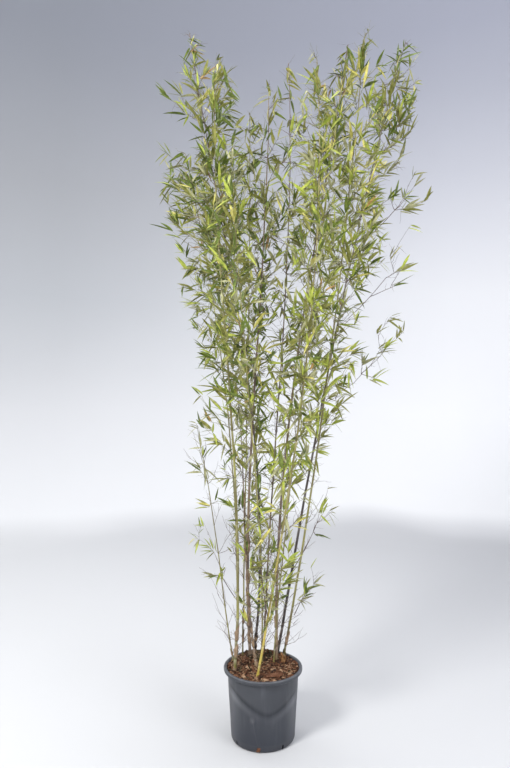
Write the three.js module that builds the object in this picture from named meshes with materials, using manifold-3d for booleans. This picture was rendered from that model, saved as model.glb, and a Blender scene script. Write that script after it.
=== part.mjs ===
import * as THREE from "three";
import { mergeVertices } from "three/addons/utils/BufferGeometryUtils.js";
import Module from "manifold-3d";

// A tall clump of bamboo in a round nursery pot. Millimetres, +Z up.
// The origin is the centre of the pot's flat underside, and -Y is the front.

const GAP = 0.3; // clearance between solids that touch
const MASS_GAP = 0.5; // clearance between masses of leaves

const POT = {
  height: 288,
  rimRadius: 159, // outside of the rolled rim
  lipRadius: 148, // inside of the rim
  skirt: 15, // height of the rim's outer band
  shoulderRadius: 143, // body just under the rim
  footRadius: 128, // outside of the flat underside
  footRound: 12, // rounding between underside and wall
  wall: 3.5,
  sides: 28,
};
const SLOT = { count: 8, width: 8, depth: 14, height: 18, start: -8.5 }; // drain slots round the foot

const SOIL = {
  edge: 274, // height where the bark meets the wall
  crown: 5, // general rise towards the middle
  mound: { x: -10, y: 88, rise: 24, spread: 48 }, // old root mass at the back
  sides: 14, // half of the pot's, so that corners meet corners
};

const CULM = { sides: 6, steps: 6, flare: 1.3, flareHeight: 22, tip: 2.4, taper: 0.8, sink: 6 };
const SWAY_PEAK = 27 / 4; // t (1 - t)^2 peaks at 4 / 27, so a sway comes out at its stated size
const BOUGH = { sides: 5, steps: 4, foot: 4.4, tip: 2.2, sag: 0.1 };
const PLUME = { around: 8, rings: 6, lump: 0.15, taperUp: 0.1, blunt: 0.3, pole: 0.01 };
const WAVE = { x: 2.9, climb: 1.7, y: 3.3, fall: 4.1, shift: 2.3, seedStep: 1.7 }; // how a mass swells and narrows
const SPRAY_LEAN = 0.25; // how far a side mass leans out as it rises
const STUMP_TAPER = 0.25;

// Each culm: foot [x, y], tip [x, y, z], sideways sway at one third and two thirds of its
// height, and its diameter at the soil.
const CULMS = {
  culm_pale_left: { foot: [-120, 44], tip: [-262, 20, 1205], sway: [-2, 10], thick: 6, colour: "#9aa86a" },
  culm_green_left: { foot: [-114, -26], tip: [-190, -120, 2640], sway: [37, -19], thick: 12, colour: "#6f7440" },
  culm_grey_left: { foot: [-112, 68], tip: [-338, 235, 2440], sway: [46, 36], thick: 7, colour: "#7f8470" },
  culm_thin_green: { foot: [-84, 98], tip: [-57, 300, 2655], sway: [0, 7], thick: 7, colour: "#4f5a3c" },
  culm_brown_centre: { foot: [-52, 92], tip: [22, -100, 2585], sway: [-30, 10], thick: 13, colour: "#6b5240" },
  culm_sheathed: { foot: [-26, 0], tip: [-113, 120, 1445], sway: [-17, 10], thick: 9, colour: "#8a6a4c" },
  culm_black_left: { foot: [-36, 118], tip: [-300, 20, 2862], sway: [88, 16], thick: 11, colour: "#262322" },
  culm_yellow_front: { foot: [-24, -82], tip: [190, -300, 2595], sway: [25, 56], thick: 10, colour: "#b3a436" },
  culm_dark_back: { foot: [6, 122], tip: [115, 245, 2850], sway: [-5, 33], thick: 8, colour: "#3b3a30" },
  culm_grey_right: { foot: [58, 58], tip: [363, 120, 2868], sway: [-57, -15], thick: 12, colour: "#6d5f5c" },
  culm_black_right: { foot: [61, 120], tip: [577, 0, 2812], sway: [-14, -28], thick: 12, colour: "#232021" },
  culm_thin_right: { foot: [44, 30], tip: [274, 200, 2100], sway: [-15, -6], thick: 6, colour: "#6c6a3e" },
  culm_olive_right: { foot: [86, 94], tip: [380, -200, 2735], sway: [20, 15], thick: 10, colour: "#57582f" },
  culm_slender_front: { foot: [-4, 24], tip: [-114, -330, 2150], sway: [22, 0], thick: 7, colour: "#5c6136" },
};

// The cut stump of an old culm, with its dry sheaths.
const STUMP = { foot: [84, 40], lean: [-3, 4], height: 34, thick: 13, colour: "#a9754a" };

// Masses of leaves round the culms: the stretch of height that each fills, how far it
// reaches from the culm, and how far its middle is drawn aside [x, y].
const PLUMES = {
  culm_pale_left: [{ part: "top", from: 900, to: 1290, reach: 80, aside: [-14, 6] }],
  culm_green_left: [
    { part: "low", from: 930, to: 1840, reach: 96, aside: [-22, -26] },
    { part: "top", from: 1850, to: 2705, reach: 108, aside: [14, -20] },
  ],
  culm_grey_left: [
    { part: "low", from: 1480, to: 2010, reach: 112, aside: [-36, 34] },
    { part: "top", from: 2015, to: 2480, reach: 118, aside: [-22, 22] },
  ],
  culm_thin_green: [
    { part: "low", from: 1120, to: 1560, reach: 112, aside: [-10, 36] },
    { part: "top", from: 1570, to: 2680, reach: 100, aside: [4, 40] },
  ],
  culm_brown_centre: [
    { part: "low", from: 455, to: 1500, reach: 98, aside: [10, -36] },
    { part: "top", from: 1510, to: 2610, reach: 96, aside: [0, -30] },
  ],
  culm_sheathed: [{ part: "top", from: 430, to: 1480, reach: 56, aside: [-22, 34] }],
  culm_black_left: [
    { part: "low", from: 1140, to: 1840, reach: 94, aside: [-36, 0] },
    { part: "middle", from: 1845, to: 2380, reach: 122, aside: [-18, 8] },
    { part: "top", from: 2385, to: 2866, reach: 84, aside: [4, 0] },
  ],
  culm_yellow_front: [
    { part: "low", from: 470, to: 1400, reach: 104, aside: [-4, -34] },
    { part: "top", from: 1410, to: 2625, reach: 112, aside: [-14, -34] },
  ],
  culm_dark_back: [
    { part: "low", from: 500, to: 1620, reach: 104, aside: [0, 42] },
    { part: "top", from: 1630, to: 2855, reach: 100, aside: [-6, 34] },
  ],
  culm_grey_right: [
    { part: "low", from: 800, to: 2020, reach: 86, aside: [8, 14] },
    { part: "top", from: 2030, to: 2866, reach: 112, aside: [0, 18] },
  ],
  culm_black_right: [
    { part: "low", from: 1120, to: 1640, reach: 92, aside: [20, -4] },
    { part: "middle", from: 1650, to: 2200, reach: 112, aside: [26, 0] },
    { part: "top", from: 2210, to: 2830, reach: 112, aside: [14, 0] },
  ],
  culm_thin_right: [{ part: "top", from: 1420, to: 2130, reach: 80, aside: [12, 44] }],
  culm_olive_right: [
    { part: "low", from: 1200, to: 1640, reach: 98, aside: [8, -34] },
    { part: "top", from: 1650, to: 2760, reach: 108, aside: [10, -36] },
  ],
  culm_slender_front: [{ part: "top", from: 1270, to: 2190, reach: 116, aside: [-10, -44] }],
};

// Long side boughs: the culm and height each springs from, and the middle [x, y, z] and
// size [reach, half height] of the thin mass of leaves that it carries.
const SPRAYS = {
  left_foot: { on: "culm_grey_left", at: 520, middle: [-222, 24, 748], size: [62, 128] },
  right_foot: { on: "culm_olive_right", at: 430, middle: [186, 52, 606], size: [52, 92] },
  front_foot: { on: "culm_yellow_front", at: 520, middle: [-26, -236, 872], size: [72, 150] },
  back_foot: { on: "culm_dark_back", at: 560, middle: [36, 268, 905], size: [74, 150] },
  right_low: { on: "culm_black_right", at: 640, middle: [238, -30, 920], size: [66, 120] },
  right_wide: { on: "culm_black_right", at: 1310, middle: [500, 60, 1580], size: [80, 150] },
  right_middle: { on: "culm_black_right", at: 1660, middle: [552, -70, 1935], size: [62, 140] },
  right_high: { on: "culm_black_right", at: 1980, middle: [608, 40, 2225], size: [94, 96] },
};

const COLOURS = { pot: "#4b4d55", soil: "#5a3a2c", bough: "#6a6440", leaves: ["#8b9a45", "#7d8f3e", "#98a552"] };

const ROUGHNESS = { pot: 0.5, soil: 0.95, stump: 0.85, culm: 0.45, bough: 0.6, leaves: 0.8 };

const wasm = await Module();
wasm.setup();

// ---- solids ----

// Merges shared corners and drops the empty triangles at a lathe's or a sphere's poles.
function cleaned(geometry) {
  const plain = geometry.clone();
  plain.deleteAttribute("normal");
  plain.deleteAttribute("uv");
  const merged = mergeVertices(plain, 1e-4);
  const corners = merged.index.array;
  const kept = [];
  for (let i = 0; i < corners.length; i += 3) {
    const [a, b, c] = [corners[i], corners[i + 1], corners[i + 2]];
    if (a !== b && b !== c && c !== a) kept.push(a, b, c);
  }
  merged.setIndex(kept);
  return merged;
}

function toSolid(geometry) {
  const merged = cleaned(geometry);
  return new wasm.Manifold(new wasm.Mesh({
    numProp: 3,
    vertProperties: new Float32Array(merged.attributes.position.array),
    triVerts: new Uint32Array(merged.index.array),
  }));
}

// A cut can leave crumbs: only the largest piece is kept.
function largest(solid) {
  const pieces = solid.decompose();
  return pieces.reduce((best, piece) => (piece.volume() > best.volume() ? piece : best));
}

function toGeometry(solid) {
  const mesh = solid.getMesh();
  const geometry = new THREE.BufferGeometry();
  geometry.setAttribute("position", new THREE.BufferAttribute(new Float32Array(mesh.vertProperties), 3));
  geometry.setIndex(new THREE.BufferAttribute(new Uint32Array(mesh.triVerts), 1));
  geometry.computeVertexNormals();
  return geometry;
}

function boxesMeet(a, b) {
  const [p, q] = [a.boundingBox(), b.boundingBox()];
  return [0, 1, 2].every((k) => p.min[k] < q.max[k] && q.min[k] < p.max[k]);
}

function cutBy(solid, tools) {
  return tools.filter((tool) => boxesMeet(solid, tool)).reduce((left, tool) => left.subtract(tool), solid);
}

// ---- shared shapes ----

function soilHeight(x, y) {
  const bump = SOIL.mound;
  const away = ((x - bump.x) ** 2 + (y - bump.y) ** 2) / (2 * bump.spread ** 2);
  const dome = 1 - (x * x + y * y) / POT.lipRadius ** 2;
  return SOIL.edge + SOIL.crown * dome + bump.rise * Math.exp(-away);
}

// The centre line of a culm at a share t of its height.
function culmPoint(culm, t) {
  const [x0, y0] = culm.foot;
  const [x1, y1, z1] = culm.tip;
  const low = SWAY_PEAK * t * (1 - t) ** 2;
  const high = SWAY_PEAK * t * t * (1 - t);
  const z0 = soilHeight(x0, y0) - CULM.sink;
  const x = x0 + (x1 - x0) * t + culm.sway[0] * low + culm.sway[1] * high;
  return new THREE.Vector3(x, y0 + (y1 - y0) * t, z0 + (z1 - z0) * t);
}

function culmAtHeight(culm, z) {
  const foot = culmPoint(culm, 0).z;
  return culmPoint(culm, THREE.MathUtils.clamp((z - foot) / (culm.tip[2] - foot), 0, 1));
}

// A tapering limb with level rings: centre(t) and radius(t) run from its foot to its tip.
function limb(centre, radius, sides, heights) {
  const geometry = new THREE.CylinderGeometry(1, 1, 1, sides, heights.length - 1);
  const place = geometry.attributes.position;
  for (let i = 0; i < place.count; i += 1) {
    const t = heights[Math.round((place.getY(i) + 0.5) * (heights.length - 1))];
    const [middle, r] = [centre(t), radius(t)];
    place.setXYZ(i, middle.x + r * place.getX(i), middle.y - r * place.getZ(i), middle.z);
  }
  return toSolid(geometry);
}

function culmSolid(culm, spare = 0) {
  const length = culm.tip[2] - culmPoint(culm, 0).z;
  const flareEnd = CULM.flareHeight / length;
  const heights = [0];
  for (let i = 0; i < CULM.steps; i += 1) {
    heights.push(flareEnd + (1 - flareEnd) * (i / (CULM.steps - 1)));
  }
  const radius = (t) => {
    const swell = t === 0 ? CULM.flare : 1;
    return (swell * (CULM.tip + (culm.thick - CULM.tip) * (1 - t) ** CULM.taper)) / 2 + spare;
  };
  return limb((t) => culmPoint(culm, t), radius, CULM.sides, heights);
}

// A closed, uneven mass: level rings round a centre line, pushed in and out by slow waves
// that differ with the seed. An end that meets the next mass of the same culm is blunt.
function massSolid(centre, from, to, reach, seed, spare, blunt = {}) {
  const geometry = new THREE.SphereGeometry(1, PLUME.around, PLUME.rings);
  const place = geometry.attributes.position;
  const [middle, half] = [(from + to) / 2, (to - from) / 2];
  for (let i = 0; i < place.count; i += 1) {
    const [x, y, z] = [place.getX(i), -place.getZ(i), place.getY(i)];
    const wave = Math.sin(WAVE.x * x + WAVE.climb * z + seed)
      + Math.sin(WAVE.y * y - WAVE.fall * z + WAVE.shift * seed);
    const size = reach * (1 + PLUME.lump * wave) * (1 - PLUME.taperUp * z) + spare;
    const height = middle + z * (half + spare);
    const line = centre(height);
    const round = Math.hypot(x, y);
    const isBlunt = z > 0 ? blunt.above : blunt.below;
    const fullness = isBlunt && round > PLUME.pole ? round ** -PLUME.blunt : 1;
    place.setXYZ(i, line.x + size * x * fullness, line.y + size * y * fullness, height);
  }
  return toSolid(geometry);
}

// ---- the parts ----

function potSolid() {
  const p = POT;
  const outside = new THREE.Path();
  outside.moveTo(0, 0);
  outside.lineTo(p.footRadius - p.footRound, 0);
  outside.lineTo(p.footRadius - 0.25 * p.footRound, 0.25 * p.footRound);
  outside.lineTo(p.footRadius + 0.6, p.footRound);
  outside.lineTo(p.shoulderRadius, p.height - p.skirt - 3);
  outside.lineTo(p.rimRadius - 1.5, p.height - p.skirt);
  outside.lineTo(p.rimRadius, p.height - 4);
  outside.lineTo(p.rimRadius - 4, p.height);
  outside.lineTo(p.lipRadius, p.height);
  outside.lineTo(p.shoulderRadius - p.wall, p.height - p.skirt - 6);
  outside.lineTo(p.footRadius - p.wall, p.wall + p.footRound);
  outside.lineTo(p.footRadius - p.wall - p.footRound, p.wall);
  outside.lineTo(0, p.wall);
  const lathe = new THREE.LatheGeometry(outside.getPoints(), p.sides);
  lathe.rotateX(Math.PI / 2);
  return cutBy(toSolid(lathe), slotTools());
}

// Upright slots that let water out through the corner of the foot.
function slotTools() {
  const tools = [];
  for (let i = 0; i < SLOT.count; i += 1) {
    const box = new THREE.BoxGeometry(SLOT.width, SLOT.depth, SLOT.height);
    box.translate(0, -POT.footRadius, SLOT.height / 2 + POT.wall);
    box.rotateZ(THREE.MathUtils.degToRad(SLOT.start + (360 / SLOT.count) * i));
    tools.push(toSolid(box));
  }
  return tools;
}

function soilSolid() {
  const p = POT;
  const under = p.wall + GAP;
  const top = p.shoulderRadius - p.wall - GAP - 0.6;
  const foot = p.footRadius - p.wall - GAP - 0.6;
  const profile = [
    [0, under], [foot - p.footRound - 1, under], [foot - 0.6, under + p.footRound + 1],
    [top, SOIL.edge], [top * 0.72, SOIL.edge], [top * 0.36, SOIL.edge], [0, SOIL.edge],
  ].map(([r, z]) => new THREE.Vector2(r, z));
  const lathe = new THREE.LatheGeometry(profile, SOIL.sides);
  lathe.rotateX(Math.PI / 2);
  const place = lathe.attributes.position;
  for (let i = 0; i < place.count; i += 1) {
    if (place.getZ(i) > SOIL.edge - 1) place.setZ(i, soilHeight(place.getX(i), place.getY(i)));
  }
  return toSolid(lathe);
}

function stumpSolid(spare = 0) {
  const foot = soilHeight(...STUMP.foot) - CULM.sink;
  const centre = (t) => new THREE.Vector3(
    STUMP.foot[0] + STUMP.lean[0] * t,
    STUMP.foot[1] + STUMP.lean[1] * t,
    foot + (STUMP.height + CULM.sink) * t,
  );
  return limb(centre, (t) => (STUMP.thick / 2) * (1 - STUMP_TAPER * t) + spare, CULM.sides, [0, 0.4, 1]);
}

function boughSolid(spray, spare = 0) {
  const start = culmAtHeight(CULMS[spray.on], spray.at);
  const end = new THREE.Vector3(...spray.middle);
  const bend = start.clone().lerp(end, 0.5).add(new THREE.Vector3(0, 0, -BOUGH.sag * start.distanceTo(end)));
  const curve = new THREE.QuadraticBezierCurve3(start, bend, end);
  const heights = Array.from({ length: BOUGH.steps + 1 }, (_, i) => i / BOUGH.steps);
  const radius = (t) => (BOUGH.foot + (BOUGH.tip - BOUGH.foot) * t) / 2 + spare;
  return limb((t) => curve.getPoint(t), radius, BOUGH.sides, heights);
}

function plumeSolid(culm, plume, blunt, seed, spare = 0) {
  const centre = (z) => culmAtHeight(culm, z).add(new THREE.Vector3(...plume.aside, 0));
  return massSolid(centre, plume.from, plume.to, plume.reach, seed, spare, blunt);
}

function spraySolid(spray, seed, spare = 0) {
  const [x, y, z] = spray.middle;
  const [reach, half] = spray.size;
  const lean = new THREE.Vector3(x, y, 0).normalize();
  const centre = (height) => new THREE.Vector3(x, y, 0).addScaledVector(lean, SPRAY_LEAN * (height - z));
  return massSolid(centre, z - half, z + half, reach, seed, spare);
}

// ---- assembly ----

const potted = new THREE.Group();

function addPart(name, solid, colour, roughness) {
  const material = new THREE.MeshStandardMaterial({ color: colour, roughness, metalness: 0 });
  const mesh = new THREE.Mesh(toGeometry(solid), material);
  mesh.name = name;
  potted.add(mesh);
}

const culmTools = Object.values(CULMS).map((culm) => culmSolid(culm, GAP));
const sprays = Object.entries(SPRAYS);
const boughTools = sprays.map(([, spray]) => boughSolid(spray, GAP));

addPart("pot", potSolid(), COLOURS.pot, ROUGHNESS.pot);
addPart("soil", largest(cutBy(soilSolid(), [...culmTools, stumpSolid(GAP)])), COLOURS.soil, ROUGHNESS.soil);
addPart("stump", stumpSolid(), STUMP.colour, ROUGHNESS.stump);
for (const [name, culm] of Object.entries(CULMS)) addPart(name, culmSolid(culm), culm.colour, ROUGHNESS.culm);

// Every mass is cut round the culms and boughs, and stops short of the masses before it.
const massTools = [];
function addMass(name, build, ownBough = null) {
  const seed = WAVE.seedStep * (massTools.length + 1);
  const boughs = boughTools.filter((tool) => tool !== ownBough);
  const solid = cutBy(build(seed), [...culmTools, ...boughs, ...massTools]);
  addPart(name, largest(solid), COLOURS.leaves[massTools.length % COLOURS.leaves.length], ROUGHNESS.leaves);
  massTools.push(build(seed, MASS_GAP));
}

// A bough runs from the face of its culm to the face of its own mass.
sprays.forEach(([name, spray], i) => {
  const seed = WAVE.seedStep * (i + 1);
  const ends = [...culmTools, spraySolid(spray, seed, MASS_GAP)];
  addPart(`bough_${name}`, largest(cutBy(boughSolid(spray), ends)), COLOURS.bough, ROUGHNESS.bough);
  addMass(`leaves_${name}`, (own, spare) => spraySolid(spray, own, spare), boughTools[i]);
});

for (const [name, plumes] of Object.entries(PLUMES)) {
  plumes.forEach((plume, i) => {
    const blunt = { below: i > 0, above: i < plumes.length - 1 };
    addMass(`leaves_${name.replace("culm_", "")}_${plume.part}`,
      (seed, spare) => plumeSolid(CULMS[name], plume, blunt, seed, spare));
  });
}

export default potted;
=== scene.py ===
import math
import random
import bpy
import numpy as np
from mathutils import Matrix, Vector, noise
from mathutils.bvhtree import BVHTree


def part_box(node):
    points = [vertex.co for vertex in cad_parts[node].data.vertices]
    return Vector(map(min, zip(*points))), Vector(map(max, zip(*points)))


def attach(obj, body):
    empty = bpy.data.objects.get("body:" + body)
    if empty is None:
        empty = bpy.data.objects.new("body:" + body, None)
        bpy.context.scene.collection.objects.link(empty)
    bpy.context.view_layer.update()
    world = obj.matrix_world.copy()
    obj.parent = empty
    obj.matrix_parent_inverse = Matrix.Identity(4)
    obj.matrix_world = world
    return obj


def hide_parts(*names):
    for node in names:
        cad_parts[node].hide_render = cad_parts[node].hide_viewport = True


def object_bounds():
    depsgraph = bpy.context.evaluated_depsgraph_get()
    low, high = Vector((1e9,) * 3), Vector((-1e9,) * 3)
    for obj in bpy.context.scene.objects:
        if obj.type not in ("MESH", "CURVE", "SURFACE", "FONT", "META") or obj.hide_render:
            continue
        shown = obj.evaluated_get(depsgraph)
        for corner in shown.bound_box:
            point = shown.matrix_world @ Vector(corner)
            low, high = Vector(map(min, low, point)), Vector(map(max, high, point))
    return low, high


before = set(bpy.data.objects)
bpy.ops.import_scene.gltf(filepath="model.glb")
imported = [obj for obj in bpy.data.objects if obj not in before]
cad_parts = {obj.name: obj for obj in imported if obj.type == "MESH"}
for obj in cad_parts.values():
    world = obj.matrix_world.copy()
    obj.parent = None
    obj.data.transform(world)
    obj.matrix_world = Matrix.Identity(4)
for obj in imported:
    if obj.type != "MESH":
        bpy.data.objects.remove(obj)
cad_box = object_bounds()
BOX_LOW, BOX_HIGH = (np.array(corner) + slack for corner, slack in zip(cad_box, (0.001, -0.001)))

# ---- sizes, in metres ----

POT_SIDES = 112
POT = dict(foot=0.128, foot_round=0.012, shoulder=0.143, rim=0.159, lip=0.148,
           height=0.288, band=0.015, wall=0.0035)
SLOT = dict(count=8, start=-8.5, width=0.008, height=0.018, depth=0.014)
BOW = dict(x=0.0175, low=0.150, steep=0.66, bend=0.03, to_ridge=0.024)  # the press mark on the pot's front
PRESS = dict(groove=0.0016, ridge=0.0009, uneven=0.0007)
SOIL = dict(edge=0.274, crown=0.005, reach=0.148, bank_from=0.122, bank_steep=0.32, rings=26, sides=84)
MOUND = dict(x=-0.010, y=0.088, rise=0.024, spread=0.048)
STUMP = dict(x=0.084, y=0.040, fibres=9, round=0.0085)
CHIPS = dict(count=1700, reach=0.143, furthest=0.1495)
STRAWS = dict(count=300, reach=0.136)
CANE_SIDES = 14
RING_REACH = 0.12
LEAF_SHAPE = [(0.0, 0.06), (0.10, 0.62), (0.28, 1.0), (0.52, 0.92), (0.78, 0.52), (1.0, 0.03)]
LEAF_FOLD = 0.16
LEAF_LENGTH = (0.048, 0.096)
LEAF_WIDTH = (0.115, 0.17)
SPRAYS_PER_LITRE = 5.2
NECK = dict(wide=0.055, tall=0.11, reach=0.14, sprays=8)
NECK_SPRAYS = {"dark_back_top": 16, "brown_centre_top": 16, "yellow_front_top": 14, "thin_green_top": 4,
               "green_left_top": 16, "black_left_middle": 14, "grey_right_top": 14}
WIRY_TOP = 1.15
SHOOT_THICK = (0.00135, 0.0010, 0.0008, 0.0007)  # from a joint, from that shoot, and so on
LONG_SHOOT_ROOM = 0.085
LONG_SHOOTS = {
    "black_left_middle": [(-0.405, 0.02, 2.375), (-0.395, 0.05, 2.25)],
    "black_left_top": [(-0.395, 0.0, 2.60)],
    "green_left_top": [(-0.365, -0.10, 2.03)],
}
FULLNESS = {
    "green_left_low": 0.7, "green_left_top": 1.1, "grey_left_low": 0.7, "grey_left_top": 0.8,
    "pale_left_top": 0.35, "thin_green_low": 0.5, "thin_green_top": 0.65, "brown_centre_low": 1.05,
    "brown_centre_top": 0.75, "sheathed_top": 0.9, "black_left_low": 1.0, "black_left_middle": 1.2,
    "black_left_top": 1.2, "yellow_front_low": 1.4, "yellow_front_top": 0.88, "dark_back_low": 0.65,
    "dark_back_top": 0.7, "grey_right_low": 1.1, "grey_right_top": 1.15, "black_right_low": 0.75,
    "black_right_middle": 0.8, "black_right_top": 1.1, "thin_right_top": 0.75, "olive_right_low": 0.8,
    "olive_right_top": 0.95, "slender_front_top": 0.6, "left_foot": 0.3, "right_foot": 0.1,
    "front_foot": 0.5, "back_foot": 0.5, "right_low": 0.25, "right_wide": 0.5, "right_middle": 0.6,
    "right_high": 0.5,
}
# heights above the floor, and the share of the spray spots that is kept at each
THINNING = ((0.45, 0.68, 0.78, 0.98, 1.1, 1.3), (1.0, 1.0, 0.25, 0.2, 0.6, 1.0))
UPWARD = Vector((0.13, 0.21, 0.97))  # a line that leans, so that it meets no edge end on
STAGE = dict(radius=5.2, sweep=1.8, wall=7.8)
CAMERA = dict(place=(-0.0325, -2.637, 1.428), lens=30.47, sensor=36)

CANES = {
    "culm_pale_left": "green", "culm_green_left": "green", "culm_grey_left": "green",
    "culm_thin_green": "green", "culm_thin_right": "green", "culm_olive_right": "green",
    "culm_slender_front": "green",
    "culm_brown_centre": "brown", "culm_sheathed": "brown", "culm_grey_right": "brown",
    "culm_dark_back": "brown",
    "culm_black_left": "black", "culm_black_right": "black",
    "culm_yellow_front": "yellow",
}
DARK_CANES = {name for name, tone in CANES.items() if tone in ("black", "brown")}


# ---- finishes ----

def sum_of(operation, swapped=False):
    """A method of Wire that adds one Math node."""
    def reckon(wire, *other):
        values = (*other, wire) if swapped else (wire, *other)
        return wire.finish.node("ShaderNodeMath", {"operation": operation}, dict(enumerate(values)))
    return reckon


class Wire:
    """A shader socket that can be reckoned with: a sum on it adds its Math node."""

    def __init__(self, finish, socket):
        self.finish, self.socket = finish, socket

    __add__ = __radd__ = sum_of("ADD")
    __mul__ = __rmul__ = sum_of("MULTIPLY")
    __sub__, __rsub__ = sum_of("SUBTRACT"), sum_of("SUBTRACT", swapped=True)
    __truediv__, __pow__ = sum_of("DIVIDE"), sum_of("POWER")
    __lt__, __gt__ = sum_of("LESS_THAN"), sum_of("GREATER_THAN")
    __abs__ = sum_of("ABSOLUTE")


class Finish:
    """One material; node() adds any node, fed with plain values or with wires."""

    def __init__(self, name, roughness, **fixed):
        self.material = bpy.data.materials.new(name)
        self.material.use_nodes = True
        self.shader = self.material.node_tree.nodes["Principled BSDF"]
        self.feed(self.shader.inputs["Roughness"], roughness)
        for socket, value in fixed.items():
            self.feed(self.shader.inputs[socket.replace("_", " ")], value)

    def feed(self, socket, value):
        if isinstance(value, Wire):
            self.material.node_tree.links.new(value.socket, socket)
        else:
            socket.default_value = value

    def node(self, kind, settings=None, values=None, out=0):
        made = self.material.node_tree.nodes.new(kind)
        for key, value in (settings or {}).items():
            if key == "stops":
                ramp = made.color_ramp.elements
                for spare in list(ramp)[1:]:
                    ramp.remove(spare)
                ramp[0].position, ramp[0].color = value[0][0], (*value[0][1], 1)
                for stop, colour in value[1:]:
                    ramp.new(stop).color = (*colour, 1)
            else:
                setattr(made, key, value)
        for key, value in (values or {}).items():
            self.feed(made.inputs[key], value)
        return Wire(self, made.outputs[out])

    def place(self):
        return self.node("ShaderNodeTexCoord", out="Object")

    def axes(self):
        place = self.place()
        return [self.node("ShaderNodeSeparateXYZ", values={0: place}, out=i) for i in range(3)]

    def stretched(self, scale):
        return self.node("ShaderNodeMapping", values={"Vector": self.place(), "Scale": scale})

    def speckle(self, scale, detail=2.0, where=None):
        where = where or self.place()
        return self.node("ShaderNodeTexNoise", values={"Vector": where, "Scale": scale, "Detail": detail})

    def mark(self, name):
        return self.node("ShaderNodeAttribute", {"attribute_name": name}, out="Fac")

    def ramp(self, factor, stops):
        return self.node("ShaderNodeValToRGB", {"stops": stops}, {0: factor})

    def fade(self, factor, start, end, before=0.0, after=1.0):
        """A mask that goes from one value to another between two places."""
        return self.ramp(factor, [(start, (before,) * 3), (end, (after,) * 3)])

    def band(self, away, width):
        """One along a line, falling to nought at the width to either side."""
        return self.node("ShaderNodeMath", {"operation": "MAXIMUM"}, {0: 1.0 - abs(away) / width, 1: 0.0})

    def blend(self, mask, below, above):
        below = below if isinstance(below, Wire) else (*below, 1)
        above = above if isinstance(above, Wire) else (*above, 1)
        return self.node("ShaderNodeMix", {"data_type": "RGBA"}, {0: mask, 6: below, 7: above}, out=2)

    def colour(self, value):
        self.feed(self.shader.inputs["Base Color"], value)

    def gloss(self, value):
        self.feed(self.shader.inputs["Roughness"], value)

    def relief(self, height, strength, distance):
        values = {"Strength": strength, "Distance": distance, "Height": height}
        bump = self.node("ShaderNodeBump", values=values)
        self.feed(self.shader.inputs["Normal"], bump)


def above_bow(x, z):
    """How far above the bow-shaped press mark a point lies, in numbers or in wires."""
    arm = ((x - BOW["x"]) ** 2 + BOW["bend"] ** 2) ** 0.5 - BOW["bend"]
    return z - (BOW["low"] + BOW["steep"] * arm)


def pot_finish():
    """Slate-grey moulded plastic, dusty in places, with the bow-shaped press mark on its front; painted
    shade lies in the mark's crease and darkens the body towards the foot, and painted highlights lie on the
    ridge under the mark, on the flanks and along the rim's top edge.
    """
    finish = Finish("moulded_pot", 0.42, Specular_IOR_Level=0.45)
    x, y, z = finish.axes()
    front = finish.fade(y * -10.0, 0.15, 0.7)
    bow = above_bow(x, z)
    # painted shade along the press mark's crease
    painted_crease_shade = finish.band(bow, 0.017) * front
    # painted highlight on the ridge under the crease, stronger towards the sides
    ridge = finish.band(bow + BOW["to_ridge"], 0.022) * front * abs(x) / 0.12
    # painted highlight on the flanks below the bow
    painted_flank_highlight = finish.band(abs(x) - 0.118, 0.034) * front * (bow < 0.0)
    streak = finish.band(x + 0.0287 + 0.2 * (z - 0.059), 0.0028) * front * (z < 0.125) * (z > 0.03)
    smear = finish.band(((x + 0.043) ** 2 + 0.5 * (z - 0.128) ** 2) ** 0.5, 0.012) * front
    worn = finish.speckle(70.0, 3.0)
    dust = finish.speckle(9.0, 4.0)
    body = finish.ramp(dust, [(0.3, (0.034, 0.037, 0.045)), (0.7, (0.048, 0.052, 0.061))])
    # painted highlight along the rim's top edge
    edge = finish.band(z - 0.2865, 0.003)
    # lays the painted shade into the crease
    body = finish.blend(painted_crease_shade * 0.85, body, (0.012, 0.014, 0.019))
    # lays the painted highlights on the ridge and the flanks
    body = finish.blend((ridge + painted_flank_highlight * 0.8) * 0.5, body, (0.15, 0.155, 0.17))
    rubbed = finish.speckle(46.0, 4.0, finish.stretched((1.0, 1.0, 0.12)))
    body = finish.blend(finish.fade(rubbed, 0.52, 0.70) * 0.26, body, (0.10, 0.105, 0.12))
    body = finish.blend((streak * 0.3 + smear * 0.7) * worn * 1.1, body, (0.20, 0.20, 0.21))
    # lays the rim's painted highlight, broken up by the wear noise
    body = finish.blend(edge * worn, body, (0.17, 0.175, 0.19))
    foot_dust = (z < 0.03) * finish.speckle(45.0, 3.0)
    body = finish.blend(foot_dust * 0.3, body, (0.16, 0.15, 0.14))
    # painted shade: the body darkens towards the foot
    body = finish.blend(finish.fade(z, 0.02, 0.20, 1.0, 0.0) * 0.62, body, (0.018, 0.022, 0.034))
    finish.colour(body)
    finish.gloss(0.34 + 0.2 * dust)
    finish.relief(finish.speckle(420.0, 2.0) + 0.4 * finish.speckle(30.0), 0.12, 0.0006)
    return finish.material


def bark_finish(name, dark, mid, pale):
    """Broken bark: stringy along its grain, rough and dull."""
    finish = Finish(name, 0.9, Specular_IOR_Level=0.2)
    fibre = finish.speckle(160.0, 4.0, finish.stretched((1.0, 2.6, 2.6)))
    patch = finish.speckle(38.0, 2.0)
    finish.colour(finish.ramp(0.6 * fibre + 0.4 * patch, [(0.34, dark), (0.5, mid), (0.68, pale)]))
    finish.relief(fibre, 0.6, 0.0012)
    return finish.material


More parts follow.
